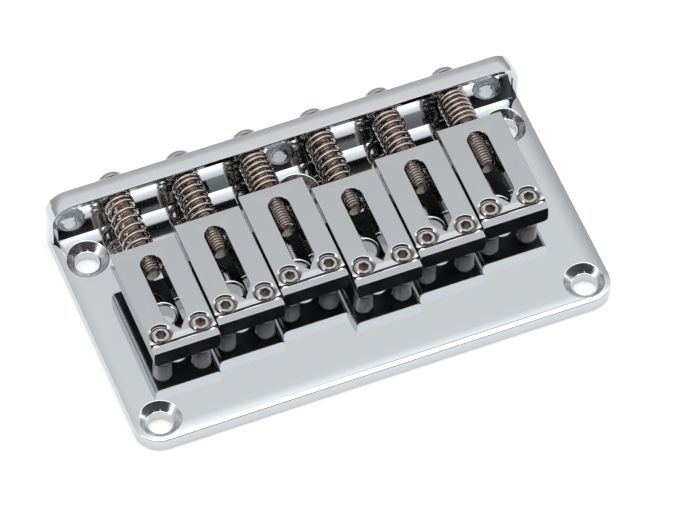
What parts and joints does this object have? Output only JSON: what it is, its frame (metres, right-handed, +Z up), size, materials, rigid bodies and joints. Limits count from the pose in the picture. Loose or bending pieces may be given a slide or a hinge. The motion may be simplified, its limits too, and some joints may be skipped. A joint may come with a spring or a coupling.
{
  "type": "guitar bridge",
  "caption": "Fixed electric guitar bridge: chromed base plate with an upright rail, block saddles on spring-loaded intonation screws, and height screws that stand on the plate.",
  "frame": {"origin": "centre of the four corner screw holes, on the underside", "axes": "+X across the strings from string 1 to string 6, +Y towards the rail and away from the neck, +Z up from the guitar's top"},
  "size_m": [0.076, 0.044, 0.0109],
  "materials": {
    "plate_chrome": "polished chrome plate on cast zinc",
    "saddle_chrome": "polished chrome plate on cast zinc, softly dulled on top",
    "screw_nickel": "nickel-plated steel",
    "spring_nickel": "nickel-plated spring wire"
  },
  "bodies": {
    "base": {"base_plate": "plate_chrome"},
    "string_1_swing": {"intonation_spring_1": "spring_nickel"},
    "string_1_saddle": {"saddle_1": "saddle_chrome"},
    "string_1_intonation_screw": {"intonation_screw_1": "screw_nickel"},
    "string_1_height_screw_left": {"height_screw_1_left": "screw_nickel"},
    "string_1_height_screw_right": {"height_screw_1_right": "screw_nickel"},
    "string_2_swing": {"intonation_spring_2": "spring_nickel"},
    "string_2_saddle": {"saddle_2": "saddle_chrome"},
    "string_2_intonation_screw": {"intonation_screw_2": "screw_nickel"},
    "string_2_height_screw_left": {"height_screw_2_left": "screw_nickel"},
    "string_2_height_screw_right": {"height_screw_2_right": "screw_nickel"},
    "string_3_swing": {"intonation_spring_3": "spring_nickel"},
    "string_3_saddle": {"saddle_3": "saddle_chrome"},
    "string_3_intonation_screw": {"intonation_screw_3": "screw_nickel"},
    "string_3_height_screw_left": {"height_screw_3_left": "screw_nickel"},
    "string_3_height_screw_right": {"height_screw_3_right": "screw_nickel"},
    "string_4_swing": {"intonation_spring_4": "spring_nickel"},
    "string_4_saddle": {"saddle_4": "saddle_chrome"},
    "string_4_intonation_screw": {"intonation_screw_4": "screw_nickel"},
    "string_4_height_screw_left": {"height_screw_4_left": "screw_nickel"},
    "string_4_height_screw_right": {"height_screw_4_right": "screw_nickel"},
    "string_5_swing": {"intonation_spring_5": "spring_nickel"},
    "string_5_saddle": {"saddle_5": "saddle_chrome"},
    "string_5_intonation_screw": {"intonation_screw_5": "screw_nickel"},
    "string_5_height_screw_left": {"height_screw_5_left": "screw_nickel"},
    "string_5_height_screw_right": {"height_screw_5_right": "screw_nickel"},
    "string_6_swing": {"intonation_spring_6": "spring_nickel"},
    "string_6_saddle": {"saddle_6": "saddle_chrome"},
    "string_6_intonation_screw": {"intonation_screw_6": "screw_nickel"},
    "string_6_height_screw_left": {"height_screw_6_left": "screw_nickel"},
    "string_6_height_screw_right": {"height_screw_6_right": "screw_nickel"}
  },
  "joints": [
    {"name": "saddle_1_height_tilt", "type": "hinge", "parent": "base", "child": "string_1_swing", "pos_m": [-0.027, 0.0234, 0.00805], "axis": [-1, 0, 0], "range_deg": [-3, 3]},
    {"name": "intonation_screw_1_turn", "type": "hinge", "parent": "string_1_swing", "child": "string_1_intonation_screw", "pos_m": [-0.027, 0.0234, 0.00805], "axis": [0, -1, 0], "range_deg": [-1805, 2165]},
    {"name": "saddle_1_intonation_travel", "type": "slide", "parent": "string_1_swing", "child": "string_1_saddle", "axis": [0, 1, 0], "range_m": [-0.0025, 0.003], "deforming": ["intonation_spring_1"]},
    {"name": "height_screw_1_left_lift", "type": "slide", "parent": "string_1_saddle", "child": "string_1_height_screw_left", "axis": [0, 0, -1], "range_m": [-0.00155, 0.00155]},
    {"name": "height_screw_1_right_lift", "type": "slide", "parent": "string_1_saddle", "child": "string_1_height_screw_right", "axis": [0, 0, -1], "range_m": [-0.00155, 0.00155]},
    {"name": "saddle_2_height_tilt", "type": "hinge", "parent": "base", "child": "string_2_swing", "pos_m": [-0.0162, 0.0234, 0.00805], "axis": [-1, 0, 0], "range_deg": [-3, 3]},
    {"name": "intonation_screw_2_turn", "type": "hinge", "parent": "string_2_swing", "child": "string_2_intonation_screw", "pos_m": [-0.0162, 0.0234, 0.00805], "axis": [0, -1, 0], "range_deg": [-2165, 2165]},
    {"name": "saddle_2_intonation_travel", "type": "slide", "parent": "string_2_swing", "child": "string_2_saddle", "axis": [0, 1, 0], "range_m": [-0.003, 0.003], "deforming": ["intonation_spring_2"]},
    {"name": "height_screw_2_left_lift", "type": "slide", "parent": "string_2_saddle", "child": "string_2_height_screw_left", "axis": [0, 0, -1], "range_m": [-0.00147, 0.00147]},
    {"name": "height_screw_2_right_lift", "type": "slide", "parent": "string_2_saddle", "child": "string_2_height_screw_right", "axis": [0, 0, -1], "range_m": [-0.00147, 0.00147]},
    {"name": "saddle_3_height_tilt", "type": "hinge", "parent": "base", "child": "string_3_swing", "pos_m": [-0.0054, 0.0234, 0.00805], "axis": [-1, 0, 0], "range_deg": [-3, 3]},
    {"name": "intonation_screw_3_turn", "type": "hinge", "parent": "string_3_swing", "child": "string_3_intonation_screw", "pos_m": [-0.0054, 0.0234, 0.00805], "axis": [0, -1, 0], "range_deg": [-2165, 1085]},
    {"name": "saddle_3_intonation_travel", "type": "slide", "parent": "string_3_swing", "child": "string_3_saddle", "axis": [0, 1, 0], "range_m": [-0.003, 0.0015], "deforming": ["intonation_spring_3"]},
    {"name": "height_screw_3_left_lift", "type": "slide", "parent": "string_3_saddle", "child": "string_3_height_screw_left", "axis": [0, 0, -1], "range_m": [-0.00139, 0.00139]},
    {"name": "height_screw_3_right_lift", "type": "slide", "parent": "string_3_saddle", "child": "string_3_height_screw_right", "axis": [0, 0, -1], "range_m": [-0.00139, 0.00139]},
    {"name": "saddle_4_height_tilt", "type": "hinge", "parent": "base", "child": "string_4_swing", "pos_m": [0.0054, 0.0234, 0.00805], "axis": [-1, 0, 0], "range_deg": [-3, 3]},
    {"name": "intonation_screw_4_turn", "type": "hinge", "parent": "string_4_swing", "child": "string_4_intonation_screw", "pos_m": [0.0054, 0.0234, 0.00805], "axis": [0, -1, 0], "range_deg": [-2165, 2165]},
    {"name": "saddle_4_intonation_travel", "type": "slide", "parent": "string_4_swing", "child": "string_4_saddle", "axis": [0, 1, 0], "range_m": [-0.003, 0.003], "deforming": ["intonation_spring_4"]},
    {"name": "height_screw_4_left_lift", "type": "slide", "parent": "string_4_saddle", "child": "string_4_height_screw_left", "axis": [0, 0, -1], "range_m": [-0.00152, 0.00152]},
    {"name": "height_screw_4_right_lift", "type": "slide", "parent": "string_4_saddle", "child": "string_4_height_screw_right", "axis": [0, 0, -1], "range_m": [-0.00152, 0.00152]},
    {"name": "saddle_5_height_tilt", "type": "hinge", "parent": "base", "child": "string_5_swing", "pos_m": [0.0162, 0.0234, 0.00805], "axis": [-1, 0, 0], "range_deg": [-3, 3]},
    {"name": "intonation_screw_5_turn", "type": "hinge", "parent": "string_5_swing", "child": "string_5_intonation_screw", "pos_m": [0.0162, 0.0234, 0.00805], "axis": [0, -1, 0], "range_deg": [-2165, 1805]},
    {"name": "saddle_5_intonation_travel", "type": "slide", "parent": "string_5_swing", "child": "string_5_saddle", "axis": [0, 1, 0], "range_m": [-0.003, 0.0025], "deforming": ["intonation_spring_5"]},
    {"name": "height_screw_5_left_lift", "type": "slide", "parent": "string_5_saddle", "child": "string_5_height_screw_left", "axis": [0, 0, -1], "range_m": [-0.00144, 0.00144]},
    {"name": "height_screw_5_right_lift", "type": "slide", "parent": "string_5_saddle", "child": "string_5_height_screw_right", "axis": [0, 0, -1], "range_m": [-0.00144, 0.00144]},
    {"name": "saddle_6_height_tilt", "type": "hinge", "parent": "base", "child": "string_6_swing", "pos_m": [0.027, 0.0234, 0.00805], "axis": [-1, 0, 0], "range_deg": [-3, 3]},
    {"name": "intonation_screw_6_turn", "type": "hinge", "parent": "string_6_swing", "child": "string_6_intonation_screw", "pos_m": [0.027, 0.0234, 0.00805], "axis": [0, -1, 0], "range_deg": [-2165, 725]},
    {"name": "saddle_6_intonation_travel", "type": "slide", "parent": "string_6_swing", "child": "string_6_saddle", "axis": [0, 1, 0], "range_m": [-0.003, 0.001], "deforming": ["intonation_spring_6"]},
    {"name": "height_screw_6_left_lift", "type": "slide", "parent": "string_6_saddle", "child": "string_6_height_screw_left", "axis": [0, 0, -1], "range_m": [-0.00137, 0.00137]},
    {"name": "height_screw_6_right_lift", "type": "slide", "parent": "string_6_saddle", "child": "string_6_height_screw_right", "axis": [0, 0, -1], "range_m": [-0.00137, 0.00137]}
  ],
  "couplings": [
    {"joint": "intonation_screw_1_turn", "follows": "saddle_1_intonation_travel", "rad_per_m": 12566},
    {"joint": "height_screw_1_left_lift", "follows": "saddle_1_height_tilt", "m_per_rad": 0.02933},
    {"joint": "height_screw_1_right_lift", "follows": "saddle_1_height_tilt", "m_per_rad": 0.02933},
    {"joint": "intonation_screw_2_turn", "follows": "saddle_2_intonation_travel", "rad_per_m": 12566},
    {"joint": "height_screw_2_left_lift", "follows": "saddle_2_height_tilt", "m_per_rad": 0.02783},
    {"joint": "height_screw_2_right_lift", "follows": "saddle_2_height_tilt", "m_per_rad": 0.02783},
    {"joint": "intonation_screw_3_turn", "follows": "saddle_3_intonation_travel", "rad_per_m": 12566},
    {"joint": "height_screw_3_left_lift", "follows": "saddle_3_height_tilt", "m_per_rad": 0.02633},
    {"joint": "height_screw_3_right_lift", "follows": "saddle_3_height_tilt", "m_per_rad": 0.02633},
    {"joint": "intonation_screw_4_turn", "follows": "saddle_4_intonation_travel", "rad_per_m": 12566},
    {"joint": "height_screw_4_left_lift", "follows": "saddle_4_height_tilt", "m_per_rad": 0.02885},
    {"joint": "height_screw_4_right_lift", "follows": "saddle_4_height_tilt", "m_per_rad": 0.02885},
    {"joint": "intonation_screw_5_turn", "follows": "saddle_5_intonation_travel", "rad_per_m": 12566},
    {"joint": "height_screw_5_left_lift", "follows": "saddle_5_height_tilt", "m_per_rad": 0.02738},
    {"joint": "height_screw_5_right_lift", "follows": "saddle_5_height_tilt", "m_per_rad": 0.02738},
    {"joint": "intonation_screw_6_turn", "follows": "saddle_6_intonation_travel", "rad_per_m": 12566},
    {"joint": "height_screw_6_left_lift", "follows": "saddle_6_height_tilt", "m_per_rad": 0.02591},
    {"joint": "height_screw_6_right_lift", "follows": "saddle_6_height_tilt", "m_per_rad": 0.02591}
  ]
}
